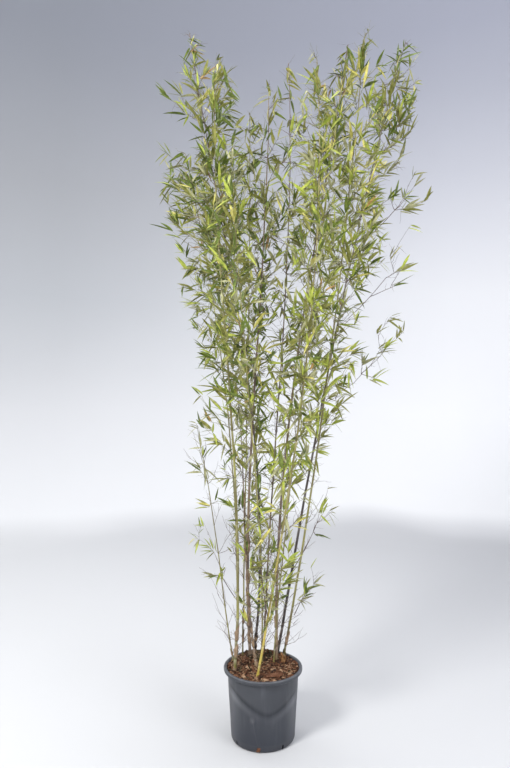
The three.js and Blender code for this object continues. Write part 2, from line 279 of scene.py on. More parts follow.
def cane_finish(name, deep, main, flush, bloom, blotch, fades=None):
    """A cane's skin: streaked along its length, stained in blotches, with a pale bloom under each joint.

    Where the cane fades, it turns to another colour from a start height to an end height.
    """
    finish = Finish(name, 0.36, Specular_IOR_Level=0.5, Coat_Weight=0.15, Coat_Roughness=0.25)
    streak = finish.speckle(420.0, 3.0, finish.stretched((1.0, 1.0, 0.05)))
    stain = finish.speckle(24.0, 4.0, finish.stretched((1.0, 1.0, 0.35)))
    tone = finish.mark("tone")
    skin = finish.ramp(0.45 * streak + 0.55 * tone, [(0.2, deep), (0.5, main), (0.8, flush)])
    blotches = finish.fade(stain, 0.5 - 0.25 * blotch, 0.62 - 0.1 * blotch)
    skin = finish.blend(blotches * blotch, skin, deep)
    if fades:
        upper, start, end = fades
        climb = finish.axes()[2] / 3.0
        skin = finish.blend(finish.fade(climb, start / 3.0, end / 3.0) * 0.85, skin, upper)
    skin = finish.blend(finish.mark("bloom") * 0.6, skin, bloom)
    skin = finish.blend(finish.mark("scar") * 0.8, skin, tuple(0.35 * c + 0.03 for c in main))
    finish.colour(skin)
    finish.gloss(0.3 + 0.25 * streak)
    finish.relief(streak, 0.25, 0.0005)
    return finish.material


def sheath_finish():
    """Papery straw sheath with long fibres."""
    finish = Finish("dry_sheath", 0.7, Specular_IOR_Level=0.25)
    fibre = finish.speckle(600.0, 3.0, finish.stretched((1.0, 1.0, 0.04)))
    patch = finish.speckle(50.0, 2.0)
    straw = [(0.3, (0.13, 0.08, 0.05)), (0.5, (0.28, 0.195, 0.12)), (0.7, (0.48, 0.37, 0.25))]
    finish.colour(finish.ramp(0.6 * fibre + 0.4 * patch, straw))
    finish.relief(fibre, 0.4, 0.0006)
    return finish.material


def leaf_finish(name, shade, main, light):
    """One tint of leaf, a little uneven, with a soft waxy sheen."""
    finish = Finish(name, 0.5, Specular_IOR_Level=0.35, Sheen_Weight=0.08)
    uneven = finish.speckle(70.0, 2.0)
    finish.colour(finish.ramp(uneven, [(0.32, shade), (0.5, main), (0.68, light)]))
    finish.gloss(0.42 + 0.2 * uneven)
    return finish.material


def twig_finish(name, dark, main):
    finish = Finish(name, 0.6, Specular_IOR_Level=0.3)
    uneven = finish.speckle(90.0, 3.0)
    finish.colour(finish.ramp(uneven, [(0.35, dark), (0.65, main)]))
    finish.relief(uneven, 0.3, 0.0004)
    return finish.material


def studio_finish():
    """A white sweep with painted shade: it greys with height and is shaded differently on the left and the
    right.
    """
    finish = Finish("studio_sweep", 0.95, Specular_IOR_Level=0.05)
    x, _, z = finish.axes()
    # painted shade: one ramp by height for the left side and one for the right stand in for the light's
    # falloff
    climb = z / 6.0 + 0.03 * finish.speckle(0.7, 1.0)
    left = finish.ramp(climb, [
        (0.022, (0.66, 0.665, 0.67)), (0.045, (0.78, 0.785, 0.79)), (0.20, (0.70, 0.705, 0.715)),
        (0.41, (0.53, 0.545, 0.565)), (0.63, (0.44, 0.45, 0.47)), (0.93, (0.38, 0.395, 0.435))])
    right = finish.ramp(climb, [
        (0.022, (0.525, 0.53, 0.545)), (0.045, (0.84, 0.845, 0.85)), (0.20, (0.86, 0.865, 0.88)),
        (0.43, (0.80, 0.805, 0.825)), (0.65, (0.63, 0.64, 0.69)), (0.93, (0.51, 0.525, 0.605))])
    finish.colour(finish.blend(x / 4.4 + 0.5, left, right))
    return finish.material


BARKS = {
    "bark_deep": ((0.014, 0.009, 0.008), (0.040, 0.022, 0.015), (0.085, 0.048, 0.032)),
    "bark_red": ((0.045, 0.018, 0.010), (0.13, 0.056, 0.030), (0.27, 0.135, 0.075)),
    "bark_tan": ((0.16, 0.085, 0.045), (0.33, 0.20, 0.115), (0.60, 0.44, 0.30)),
    "stump_fibre": ((0.11, 0.048, 0.018), (0.27, 0.135, 0.055), (0.44, 0.27, 0.13)),
}
CANE_SKINS = {
    "green": ((0.105, 0.080, 0.035), (0.235, 0.215, 0.058), (0.38, 0.37, 0.11), (0.50, 0.49, 0.33), 0.55),
    "brown": ((0.075, 0.046, 0.042), (0.20, 0.135, 0.088), (0.36, 0.275, 0.125), (0.50, 0.43, 0.34), 0.6),
    "black": ((0.014, 0.011, 0.013), (0.042, 0.033, 0.032), (0.12, 0.10, 0.07), (0.36, 0.33, 0.30), 0.7,
              ((0.125, 0.098, 0.078), 0.7, 1.7)),
    "yellow": ((0.30, 0.21, 0.03), (0.50, 0.39, 0.075), (0.62, 0.52, 0.15), (0.66, 0.60, 0.36), 0.3,
               ((0.21, 0.19, 0.07), 0.45, 0.95)),
}
LEAVES = {
    "green": ((0.064, 0.095, 0.012), (0.110, 0.153, 0.020), (0.168, 0.217, 0.034)),
    "olive": ((0.145, 0.152, 0.027), (0.210, 0.213, 0.045), (0.285, 0.280, 0.072)),
    "fresh": ((0.240, 0.295, 0.034), (0.345, 0.400, 0.056), (0.450, 0.485, 0.090)),
    "silvery": ((0.235, 0.238, 0.11), (0.335, 0.332, 0.17), (0.46, 0.45, 0.25)),
    "yellow": ((0.40, 0.37, 0.08), (0.55, 0.50, 0.13), (0.66, 0.61, 0.20)),
    "straw": ((0.30, 0.17, 0.05), (0.44, 0.27, 0.09), (0.58, 0.40, 0.16)),
}
FINISHES = {
    "pot": pot_finish(),
    **{name: bark_finish(name, *tones) for name, tones in BARKS.items()},
    "roots": bark_finish("root_mound", (0.018, 0.016, 0.010), (0.055, 0.048, 0.026), (0.13, 0.11, 0.06)),
    **{name: cane_finish("cane_" + name, *tones) for name, tones in CANE_SKINS.items()},
    "sheath": sheath_finish(),
    "twig_dark": twig_finish("twig_dark", (0.070, 0.048, 0.042), (0.20, 0.145, 0.115)),
    "twig_green": twig_finish("twig_green", (0.12, 0.10, 0.045), (0.27, 0.25, 0.12)),
    "studio": studio_finish(),
}
LEAF_TINTS = {name: leaf_finish("leaf_" + name, *tones) for name, tones in LEAVES.items()}


# ---- shaping ----

def mode(name):
    bpy.ops.object.mode_set(mode=name)


def pick(piece):
    """Selects one piece alone, so that an operator acts on nothing else."""
    bpy.ops.object.select_all(action="DESELECT")
    piece.select_set(True)
    bpy.context.view_layer.objects.active = piece


def settle(piece):
    """Puts the piece's place into its mesh and makes it ride on the one body."""
    pick(piece)
    bpy.ops.object.transform_apply(location=True, rotation=True, scale=True)
    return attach(piece, "root")


def dress(piece, finish, slot, *nodes):
    piece.data.materials.clear()
    piece.data.materials.append(finish)
    if nodes:
        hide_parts(*nodes)
    return piece


def turned(name, profile, sides, capped=True):
    """A round shape: one ring drawn out from each (radius, height) to the next."""
    bpy.ops.object.select_all(action="DESELECT")
    radius, height = profile[0]
    bpy.ops.mesh.primitive_circle_add(vertices=sides, radius=radius, location=(0, 0, 0))
    piece = bpy.context.active_object
    piece.name = piece.data.name = name
    mode("EDIT")
    bpy.ops.transform.translate(value=(0, 0, height))
    for new_radius, new_height in profile[1:]:
        bpy.ops.mesh.extrude_region_move(TRANSFORM_OT_translate={"value": (0, 0, new_height - height)})
        part = new_radius / radius
        bpy.ops.transform.resize(value=(part, part, 1), center_override=(0, 0, new_height))
        radius, height = new_radius, new_height
    bpy.ops.mesh.select_all(action="SELECT")
    if capped:
        bpy.ops.mesh.fill_holes(sides=sides)
    bpy.ops.mesh.normals_make_consistent(inside=False)
    mode("OBJECT")
    bpy.ops.object.shade_smooth()
    return piece


def placed(name, data):
    """A new object in the scene."""
    made = bpy.data.objects.new(name, data)
    bpy.context.scene.collection.objects.link(made)
    return made


def points_of(piece):
    flat = np.empty(len(piece.data.vertices) * 3)
    piece.data.vertices.foreach_get("co", flat)
    return flat.reshape(-1, 3)


def place_points(piece, points):
    piece.data.vertices.foreach_set("co", np.ascontiguousarray(points, dtype=np.float32).ravel())
    piece.data.update()


def triangles_of(piece):
    piece.data.calc_loop_triangles()
    flat = np.empty(len(piece.data.loop_triangles) * 3, dtype=np.int32)
    piece.data.loop_triangles.foreach_get("vertices", flat)
    return flat.reshape(-1, 3)


def blank_of(piece):
    """The piece's points and triangles, to be copied many times; the piece itself goes."""
    blank = (points_of(piece), triangles_of(piece))
    bpy.data.objects.remove(piece)
    return blank


def joined(name, parts, smooth=True):
    """Many small (points, triangles) parts as one mesh, which rides on the one body."""
    starts = np.cumsum([0] + [len(points) for points, _ in parts])
    points = np.vstack([points for points, _ in parts])
    faces = np.vstack([corners + start for (_, corners), start in zip(parts, starts)])
    mesh = bpy.data.meshes.new(name)
    mesh.from_pydata(points.tolist(), [], faces.tolist())
    mesh.polygons.foreach_set("use_smooth", np.full(len(mesh.polygons), smooth))
    mesh.update()
    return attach(placed(name, mesh), "root")


def finished_with(piece, kind, **settings):
    """Adds a modifier and applies it."""
    pick(piece)
    modifier = piece.modifiers.new(kind.lower(), kind)
    for key, value in settings.items():
        setattr(modifier, key, value)
    bpy.ops.object.modifier_apply(modifier=modifier.name)


# ---- pot ----

def pot_profile():
    """The pot's outline: out over its foot, up the outside, over the rim and down the inside."""
    foot, shoulder, rim, lip = POT["foot"], POT["shoulder"], POT["rim"], POT["lip"]
    height, wall, corner = POT["height"], POT["wall"], POT["foot_round"]
    under = height - POT["band"]
    rows = 22
    waist = [(foot + 0.0006 + (shoulder - foot) * k / rows, corner + (under - 0.008 - corner) * k / rows)
             for k in range(rows + 1)]
    outside = [(0.004, 0.0), (0.05, 0.0), (foot - corner, 0.0), (foot - 0.006, 0.0012),
               (foot - 0.0022, 0.0045)]
    band = [(shoulder + 0.0008, under - 0.003), (shoulder + 0.005, under - 0.0015), (rim - 0.003, under),
            (rim - 0.0008, under + 0.0015), (rim, under + 0.005), (rim, height - 0.0045),
            (rim - 0.0012, height - 0.0014), (rim - 0.004, height), (lip + 0.002, height),
            (lip, height - 0.0015)]
    inside = [(shoulder - wall, under - 0.006), (foot - wall, wall + corner), (foot - wall - corner, wall),
              (0.004, wall)]
    return outside + waist + band + inside


def press(pot):
    """Pushes the bow into the front of the pot's wall, with a ridge under it, and makes the wall uneven."""
    under = POT["height"] - POT["band"]
    points = points_of(pot)
    for point in points:
        x, y, z = point
        radius = math.hypot(x, y)
        if radius < 0.1 or not 0.02 < z < under - 0.01:
            continue
        front = min(max((-y - 0.015) / 0.055, 0.0), 1.0)
        bow = above_bow(x, z)
        ridge = PRESS["ridge"] * math.exp(-((bow + BOW["to_ridge"]) / 0.014) ** 2)
        groove = PRESS["groove"] * math.exp(-(bow / 0.012) ** 2)
        push = front * (ridge - groove) + PRESS["uneven"] * noise.noise((x * 14, y * 14, z * 14))
        point[:2] *= (radius + push) / radius
    place_points(pot, points)


def cut_slots(pot):
    """Cuts the drain slots round the foot, each with a rounded cutter."""
    reach = POT["foot"] - SLOT["depth"] / 2 + 0.006
    for k in range(SLOT["count"]):
        angle = math.radians(SLOT["start"] + 360 * k / SLOT["count"])
        middle = (reach * math.sin(angle), -reach * math.cos(angle), POT["wall"] + SLOT["height"] / 2)
        bpy.ops.object.select_all(action="DESELECT")
        bpy.ops.mesh.primitive_cube_add(size=1, location=middle)
        cutter = bpy.context.active_object
        cutter.scale = (SLOT["width"], SLOT["depth"] * 1.6, SLOT["height"])
        cutter.rotation_euler = (0, 0, angle)
        finished_with(cutter, "BEVEL", width=0.15, segments=2)
        finished_with(pot, "BOOLEAN", operation="DIFFERENCE", object=cutter, solver="EXACT")
        bpy.data.objects.remove(cutter)


def make_pot():
    pot = turned("nursery_pot", pot_profile(), POT_SIDES)
    press(pot)
    cut_slots(pot)
    pick(pot)
    bpy.ops.object.shade_smooth_by_angle(angle=math.radians(38))
    return dress(settle(pot), FINISHES["pot"], "pot_plastic", "pot")


# ---- bark and soil ----

def soil_height(x, y):
    """The top of the bark: a low crown with the root mound on it, banked up at the pot's wall."""
    swell = SOIL["crown"] * (1 - (x * x + y * y) / SOIL["reach"] ** 2)
    off_mound = (x - MOUND["x"]) ** 2 + (y - MOUND["y"]) ** 2
    heap = MOUND["rise"] * math.exp(-off_mound / (2 * MOUND["spread"] ** 2))
    bank = SOIL["bank_steep"] * max(0.0, math.hypot(x, y) - SOIL["bank_from"])
    return SOIL["edge"] + swell + heap + bank


def make_soil():
    """The packed soil under the loose bark, lumpy on top."""
    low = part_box("soil")[0][2]
    top = [(0.1455 * (1 - k / SOIL["rings"]), 0.270 + 0.0001 * k) for k in range(SOIL["rings"])]
    profile = [(0.118, low + 0.001), (0.1405, 0.262), (0.1435, 0.268), *top]
    soil = turned("soil", profile, SOIL["sides"])
    points = points_of(soil)
    for point in points:
        x, y, z = point
        if z > 0.2695:
            lump, grain = noise.noise((x * 60, y * 60, 0.3)), noise.noise((x * 170, y * 170, 1.7))
            point[2] = soil_height(x, y) - 0.0028 + (0.0028 * lump + 0.0016 * grain)
    place_points(soil, points)
    return dress(settle(soil), FINISHES["bark_deep"], "bark_soil", "soil")


def chip_blank(seed):
    """One broken chip of bark, a metre long before it is scaled."""
    bpy.ops.object.select_all(action="DESELECT")
    bpy.ops.mesh.primitive_cube_add(size=1, location=(0, 0, 0))
    chip = bpy.context.active_object
    mode("EDIT")
    bpy.ops.mesh.subdivide(number_cuts=1)
    bpy.ops.transform.vertex_random(offset=0.16, uniform=0.6, normal=0.2, seed=seed)
    mode("OBJECT")
    return blank_of(chip)


def turn_of(yaw, pitch, roll):
    """The matrix that rolls, pitches and then yaws a chip."""
    (cy, sy), (cp, sp), (cr, sr) = ((math.cos(angle), math.sin(angle)) for angle in (yaw, pitch, roll))
    return np.array([[cy * cp, cy * sp * sr - sy * cr, cy * sp * cr + sy * sr],
                     [sy * cp, sy * sp * sr + cy * cr, sy * sp * cr - cy * sr],
                     [-sp, cp * sr, cp * cr]])


def strewn(name, blanks, spots, finish, slot):
    """Copies of a few blanks at (middle, size, turn) spots, joined."""
    parts = []
    for index, (middle, size, turn) in enumerate(spots):
        shape, corners = blanks[index % len(blanks)]
        parts.append(((shape * np.array(size)) @ turn.T + np.array(middle), corners))
    return dress(joined(name, parts, smooth=False), finish, slot)


def on_soil(kinds, kind, x, y, rise, size, turn):
    """Puts one chip at a height over the bark."""
    kinds[kind].append(((x, y, soil_height(x, y) + rise), size, turn))


def scatter_spot(rng, reach):
    """A spot taken evenly over a round."""
    radius, angle = reach * math.sqrt(rng.random()), rng.uniform(0, 2 * math.pi)
    return radius, radius * math.cos(angle), radius * math.sin(angle)


def strew_chips(kinds, rng):
    """Loose bark all over, with more root fibre on the mound."""
    for _ in range(CHIPS["count"]):
        radius, x, y = scatter_spot(rng, CHIPS["reach"])
        heaped = math.hypot(x - MOUND["x"], y - MOUND["y"]) < 1.15 * MOUND["spread"]
        length = rng.uniform(0.006, 0.016) * (1.7 if rng.random() < 0.12 else 1)
        size = (length, length * rng.uniform(0.3, 0.6), rng.uniform(0.0015, 0.004))
        kind = rng.choices(list(kinds), (24, 8, 8, 60, 0) if heaped else (34, 55, 11, 0, 0))[0]
        tilt = turn_of(rng.uniform(0, math.pi), rng.gauss(0, 0.28), rng.gauss(0, 0.35))
        if radius + length / 2 <= CHIPS["furthest"]:
            on_soil(kinds, kind, x, y, rng.uniform(-0.001, 0.0025), size, tilt)


def lay_big_chips(kinds):
    """The chips that stand out by their size, each in its own place."""
    pale_chips = [  # x, y, length, width, yaw
        (-0.057, -0.012, 0.026, 0.011, -0.5), (0.040, -0.030, 0.020, 0.010, 0.3),
        (0.115, -0.039, 0.026, 0.009, 0.9), (-0.026, -0.098, 0.024, 0.013, 1.2),
        (0.012, -0.118, 0.022, 0.008, -0.2), (0.098, 0.010, 0.022, 0.007, 0.4),
        (0.108, -0.062, 0.026, 0.006, 0.7)]
    for x, y, length, width, yaw in pale_chips:
        on_soil(kinds, "bark_tan", x, y, 0.003, (length, width, 0.004), turn_of(yaw, 0.15, 0.2))
    on_soil(kinds, "bark_red", 0.040, -0.078, 0.004, (0.070, 0.022, 0.007), turn_of(0.28, 0.02, 0.12))


def strew_straws(kinds, rng):
    for _ in range(STRAWS["count"]):
        _, x, y = scatter_spot(rng, STRAWS["reach"])
        size = (rng.uniform(0.012, 0.028), rng.uniform(0.0011, 0.0024), rng.uniform(0.0009, 0.0016))
        kind = rng.choices(("bark_tan", "bark_red", "roots"), (50, 30, 20))[0]
        tilt = turn_of(rng.uniform(0, math.pi), rng.gauss(0, 0.3), rng.uniform(0, math.pi))
        on_soil(kinds, kind, x, y, rng.uniform(0.001, 0.005), size, tilt)


def stand_stubs(kinds, rng):
    """Old cane ends about the foot of the clump, and the fibres torn up round the stump."""
    old_stubs = [
        (-0.092, -0.046), (-0.078, -0.034), (-0.066, -0.056), (-0.052, -0.040), (-0.044, -0.062),
        (-0.098, 0.012), (-0.040, 0.052), (-0.022, 0.074), (0.002, 0.062), (0.022, 0.092),
        (0.036, 0.072), (-0.004, 0.108), (0.050, 0.100)]
    for x, y in old_stubs:
        tall = rng.uniform(0.016, 0.036)
        kind = rng.choice(("bark_tan", "bark_red", "roots"))
        tilt = turn_of(rng.uniform(0, 2 * math.pi), -1.2 + rng.gauss(0, 0.2), 0.3)
        on_soil(kinds, kind, x, y, 0.35 * tall, (tall, 0.0042, 0.0034), tilt)
    for k in range(STUMP["fibres"]):
        yaw = 2 * math.pi * k / STUMP["fibres"] + rng.uniform(-0.2, 0.2)
        x, y = STUMP["x"] + STUMP["round"] * math.cos(yaw), STUMP["y"] + STUMP["round"] * math.sin(yaw)
        tall = rng.uniform(0.022, 0.044)
        tilt = turn_of(yaw, -1.32 + rng.gauss(0, 0.1), 0.0)
        on_soil(kinds, "stump_fibre", x, y, 0.4 * tall, (tall, 0.0065, 0.0016), tilt)


def make_bark():
    rng = random.Random(7)
    blanks = [chip_blank(seed) for seed in (2, 5, 9, 14, 21)]
    kinds = {"bark_deep": [], "bark_red": [], "bark_tan": [], "roots": [], "stump_fibre": []}
    strew_chips(kinds, rng)
    lay_big_chips(kinds)
    strew_straws(kinds, rng)
    stand_stubs(kinds, rng)
    drain, reach = math.radians(SLOT["start"]), 0.125  # a chip stuck in the front slot
    middle = (reach * math.sin(drain), -reach * math.cos(drain), 0.0135)
    kinds["bark_red"].append((middle, (0.014, 0.012, 0.017), turn_of(drain, 0.1, 0.2)))
    for kind, spots in kinds.items():
        strewn("chips_" + kind, blanks, spots, FINISHES[kind], "bark_soil")


# ---- canes and boughs ----

class Limb:
    """The line that a cane or bough follows, read off its level rings."""

    def __init__(self, name):
        corners = np.unique(np.round(points_of(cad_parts[name]), 5), axis=0)
        corners = corners[np.argsort(corners[:, 2])]
        groups = np.split(corners, np.where(np.diff(corners[:, 2]) > 0.0004)[0] + 1)
        rings = [ring for ring in groups if len(ring) >= 3]
        middles = np.array([ring.mean(0) for ring in rings])
        radii = np.array([np.linalg.norm(ring[:, :2] - ring[:, :2].mean(0), axis=1).max() for ring in rings])
        self.name, self.heights, self.radii = name, middles[:, 2], radii
        degree = min(3, len(rings) - 1)
        self.bend_x, self.bend_y = (np.polyfit(self.heights, middles[:, k], degree) for k in range(2))
        self.foot, self.tip = self.heights[0], self.heights[-1]
        self.joints = self.spaced()

    def spaced(self):
        """Heights of the joints: close at the foot, widest a third of the way up, close at the tip."""
        rng = random.Random(self.name)
        tall = self.tip - self.foot
        widest = 0.20 if tall > 1.5 else 0.13
        heights = [self.foot]
        while heights[-1] < self.tip:
            t = (heights[-1] - self.foot) / tall
            step = 0.3 + 0.7 * t / 0.3 if t < 0.3 else 1 - 0.62 * (t - 0.3) / 0.7
            heights.append(heights[-1] + widest * step * rng.uniform(0.88, 1.12))
        heights = np.array(heights)
        return self.foot + (heights - self.foot) * tall / (heights[-1] - self.foot)

    def at(self, height):
        sway = [np.polyval(bend, height) for bend in (self.bend_x, self.bend_y)]
        return np.stack([*sway, np.asarray(height, float)], -1)

    def beside(self, spot):
        """The point of the limb at the spot's own height."""
        return self.at(np.clip(spot[2], self.foot, self.tip))

    def thick(self, height):
        return np.interp(height, self.heights, self.radii)


INTERNODE = [(1.03, 0.0), (1.16, 0.012), (1.05, 0.026), (1.15, 0.042), (1.04, 0.07), (1.0, RING_REACH),
             (0.985, 0.5), (0.985, 1 - RING_REACH), (1.0, 0.95), (1.03, 1.0)]


def grown(blank, limb):
    """A cane of joints: the blank internode in a row, then set along the limb's line."""
    name = limb.name.replace("culm", "cane")
    cane = placed(name, blank.data.copy())
    cane.data.name = name
    spans = len(limb.joints) - 1
    finished_with(cane, "ARRAY", count=spans, use_relative_offset=False, use_constant_offset=True,
                  constant_offset_displace=(0, 0, 1), use_merge_vertices=True, merge_threshold=0.0008)
    mode("EDIT")
    bpy.ops.mesh.select_all(action="SELECT")
    bpy.ops.mesh.fill_holes(sides=CANE_SIDES)
    mode("OBJECT")
    points = points_of(cane)
    span = np.clip(np.floor(points[:, 2] + 1e-4).astype(int), 0, spans - 1)
    part = np.clip(points[:, 2] - span, 0, 1)
    start, length = limb.joints[span], np.diff(limb.joints)[span]
    ring = np.minimum(2.2 * limb.thick(start), 0.3 * length)
    rise = np.interp(part, [0, RING_REACH], [0, 1]) * ring
    middle = np.interp(part, [RING_REACH, 1 - RING_REACH], [0, 1]) * (length - 2 * ring)
    last = np.interp(part, [1 - RING_REACH, 1], [0, 1]) * ring
    height = start + rise + middle + last
    around = points[:, :2] * limb.thick(height)[:, None]
    line = limb.at(height)
    rng = np.random.RandomState(len(limb.name) + spans)
    kinks = rng.normal(0, 0.0011, (spans + 1, 2))
    kinks[0] = kinks[-1] = 0
    kink = kinks[span] + (kinks[np.minimum(span + 1, spans)] - kinks[span]) * part[:, None]
    place_points(cane, np.column_stack([line[:, :2] + around + kink, height]))
    tones = rng.uniform(0, 1, spans + 1)
    marks = {
        "tone": 0.65 * tones[span] + 0.35 * (1 - part),
        "bloom": np.interp(part, [0.84, 0.97, 1.0], [0, 1, 0.6]),
        "scar": np.interp(part, [0, 0.012, 0.05], [0.5, 1, 0]),
    }
    for kind, values in marks.items():
        mark = cane.data.attributes.new(kind, "FLOAT", "POINT")
        mark.data.foreach_set("value", np.ascontiguousarray(values, dtype=np.float32))
    cane.data.update()
    return settle(cane)


def sheath_blank():
    """A leaf sheath: a wrap that opens and runs out to a point on one side."""
    wrap = [(1.10, 0.0), (1.13, 0.2), (1.16, 0.45), (1.22, 0.7), (1.5, 1.0)]
    sheath = turned("sheath", wrap, 12, capped=False)
    points = points_of(sheath)
    for point in points:
        side = abs(math.atan2(point[1], point[0])) / math.pi
        point[2] *= 1 - 0.62 * side ** 0.8
    place_points(sheath, points)
    return blank_of(sheath)


def make_sheaths(limbs):
    """Dry sheaths still clasping the lower joints of some canes."""
    rng = random.Random(19)
    shape, corners = sheath_blank()
    parts = []
    wanted = {"culm_sheathed": (0, 9), "culm_brown_centre": (1, 6), "culm_green_left": (0, 3),
              "culm_grey_right": (1, 4), "culm_thin_green": (1, 3), "culm_pale_left": (0, 2),
              "culm_olive_right": (0, 2), "culm_black_left": (0, 2)}
    for name, (first, last) in wanted.items():
        limb = limbs[name]
        for joint in range(first, last):
            low, high = limb.joints[joint], limb.joints[joint + 1]
            tall = min(high - low, 0.11) * rng.uniform(0.5, 0.9)
            turn = rng.uniform(0, 2 * math.pi)
            height = low + 0.002 + shape[:, 2] * tall
            radius = limb.thick(height) + 0.0004
            spin = np.array([[math.cos(turn), math.sin(turn)], [-math.sin(turn), math.cos(turn)]])
            around = (shape[:, :2] @ spin) * radius[:, None]
            parts.append((np.column_stack([limb.at(height)[:, :2] + around, height]), corners))
    piece = joined("dry_sheaths", parts)
    finished_with(piece, "SOLIDIFY", thickness=0.0005, offset=1.0)
    return dress(piece, FINISHES["sheath"], "stump")


def make_stump():
    """A snapped cane end, torn along its top."""
    low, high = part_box("stump")
    x, y = (low[0] + high[0]) / 2, (low[1] + high[1]) / 2
    radius, tall = (high[0] - low[0]) / 2, high[2] - low[2]
    shape = [(1.0, 0.0), (0.92, 0.1), (0.85, 0.3), (0.98, 0.34), (0.84, 0.4), (0.8, 0.9), (0.84, 0.97),
             (0.6, 1.0), (0.5, 0.9), (0.3, 0.88)]
    stump = turned("stump", [(radius * part, low[2] + tall * t) for part, t in shape], 18)
    points = points_of(stump)
    around = np.arctan2(points[:, 1], points[:, 0])
    torn = 0.18 * tall * (1 + np.sin(2.3 * around)) / 2
    points[:, 2] -= np.where(points[:, 2] > high[2] - 0.25 * tall, torn, 0)
    points[:, :2] += (x, y)
    place_points(stump, points)
    dress(settle(stump), FINISHES["stump_fibre"], "stump", "stump")


# ---- branching ----

class Mass:
    """The space one mass of leaves may fill."""

    def __init__(self, name):
        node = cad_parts[name]
        self.name, self.place = name, name.replace("leaves_", "")
        self.corners = points_of(node)
        self.tree = BVHTree.FromPolygons([Vector(p) for p in self.corners], triangles_of(node).tolist())
        self.low, self.high = self.corners.min(0), self.corners.max(0)
        self.middle = (self.low + self.high) / 2
        self.rooms = []

    def depth(self, point):
        """How far inside the surface a point lies, below nought outside."""
        place, hits = Vector(point), 0
        start = place.copy()
        while hits < 12:
            found = self.tree.ray_cast(start, UPWARD)[0]
            if found is None:
                break
            hits += 1
            start = found + UPWARD * 1e-5
        near = self.tree.find_nearest(place)[3]
        return near if hits % 2 else -near

    def holds(self, point):
        """Whether a leaf may end there: in a room, in the mass or a little outside it."""
        if any(np.linalg.norm((point - room) * (1, 1, 0.7)) < reach for room, reach in self.rooms):
            return True
        return self.depth(point) > -0.022


def limb_of(name, limbs):
    """The bough or cane that carries a mass, from the mass's name."""
    stem = name.replace("leaves_", "")
    if "bough_" + stem in limbs:
        return limbs["bough_" + stem]
    return limbs["culm_" + stem.rsplit("_", 1)[0]]


def unit(vector):
    return vector / max(np.linalg.norm(vector), 1e-9)


def jitter(rng, spread):
    return np.array([rng.gauss(0, spread) for _ in range(3)])


def spray_sites(mass, rng):
    """Spots spread through the mass, thinned by height, from some of its furthest corners on."""
    span = mass.high - mass.low
    tries = 900

    def kept(spot):
        climb = spot[2] - 0.12 if spot[0] < -0.12 else spot[2]
        return mass.depth(spot) > 0.006 and rng.random() < np.interp(climb, *THINNING)

    spots = (mass.low + span * np.array([rng.random() for _ in range(3)]) for _ in range(tries))
    inside = [spot for spot in spots if kept(spot)]
    litres = 1000 * span.prod() * len(inside) / tries
    wanted = max(5, round(litres * SPRAYS_PER_LITRE * FULLNESS[mass.place]))
    sites = []
    for axis in range(3):
        for far in (mass.corners[:, axis].argmin(), mass.corners[:, axis].argmax()):
            corner = mass.corners[far]
            sites.append(corner + unit(mass.middle - corner) * 0.022)
    rng.shuffle(sites)
    sites = sites[:wanted]
    pool = np.array(inside)
    while len(sites) < wanted:
        picks = pool[[rng.randrange(len(pool)) for _ in range(5)]]
        gaps = np.linalg.norm(picks[:, None] - np.array(sites)[None], axis=2).min(1)
        sites.append(picks[gaps.argmax()])
    return sites


def further_spots(mass, limb, rng):
    """Spots at the neck between two masses of a cane, at the ends of long shoots and at the cane's tip."""
    spots = []
    mass_below = limb.name.replace("culm", "leaves") + "_low"
    if mass_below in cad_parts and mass.name != mass_below:
        neck = mass.corners[mass.corners[:, 2].argmin()]
        mass.rooms.append((neck, NECK["reach"]))
        for _ in range(NECK_SPRAYS.get(mass.place, NECK["sprays"])):
            aside = [rng.gauss(0, NECK["wide"]), rng.gauss(0, NECK["wide"])]
            spots.append(neck + np.array([*aside, rng.uniform(-1.5 * NECK["tall"], 0.6 * NECK["tall"])]))
    for shoot in LONG_SHOOTS.get(mass.place, []):
        spots.append(np.array(shoot))
        mass.rooms.append((np.array(shoot), LONG_SHOOT_ROOM))
    if mass.name.endswith("_top"):
        spots += [limb.at(min(limb.tip, mass.high[2]) - back) for back in (0.02, 0.07, 0.13)]
    return spots


class Growth:
    """All the twigs and leaves, kept by tint until they are joined."""

    def __init__(self):
        self.twigs = {"twig_dark": [], "twig_green": []}
        self.leaves = {tint: [] for tint in LEAF_TINTS}

    def twig(self, kind, start, end, lift, thick, rng):
        """A wiry shoot on a slightly bent line; returns the points along it."""
        reach = np.linalg.norm(end - start)
        middle = (start + end) / 2 + np.array([0, 0, lift * reach]) + jitter(rng, 0.05) * reach
        t = np.linspace(0, 1, 6)[:, None]
        line = (1 - t) ** 2 * start + 2 * t * (1 - t) * middle + t ** 2 * end
        line[1:-1] += np.array([jitter(rng, 0.0016) for _ in range(4)])
        self.twigs[kind].append((line, thick))
        return line


def spray_tint(site, rng):
    """A tint for one spray or leaf, by how high and where it hangs."""
    weights = {"green": 30.0, "olive": 30.0, "fresh": 16.0, "silvery": 16.0, "yellow": 3.0, "straw": 0.7}
    # painted light: leaves in a lit patch high on the right get more of the bright yellow and fresh tints
    sunny = math.exp(-((site[0] - 0.40) / 0.12) ** 2 - ((site[2] - 2.30) / 0.28) ** 2)
    weights["yellow"] += 26 * sunny
    weights["fresh"] += 30 * sunny
    if site[0] > 0.05 and site[2] < 2.45:
        weights["silvery"] += 24
        weights["fresh"] += 22
        weights["green"] -= 12
    if site[2] > 2.62:
        weights["straw"] += 7
        weights["yellow"] += 5
    if site[2] > 2.4:
        weights["fresh"] -= 8
        weights["silvery"] -= 8
        weights["green"] += 12
        weights["olive"] += 6
    if site[2] < 1.3:
        weights["fresh"] += 14
        weights["silvery"] += 14
        weights["yellow"] += 3
    return rng.choices(list(weights), list(weights.values()))[0]


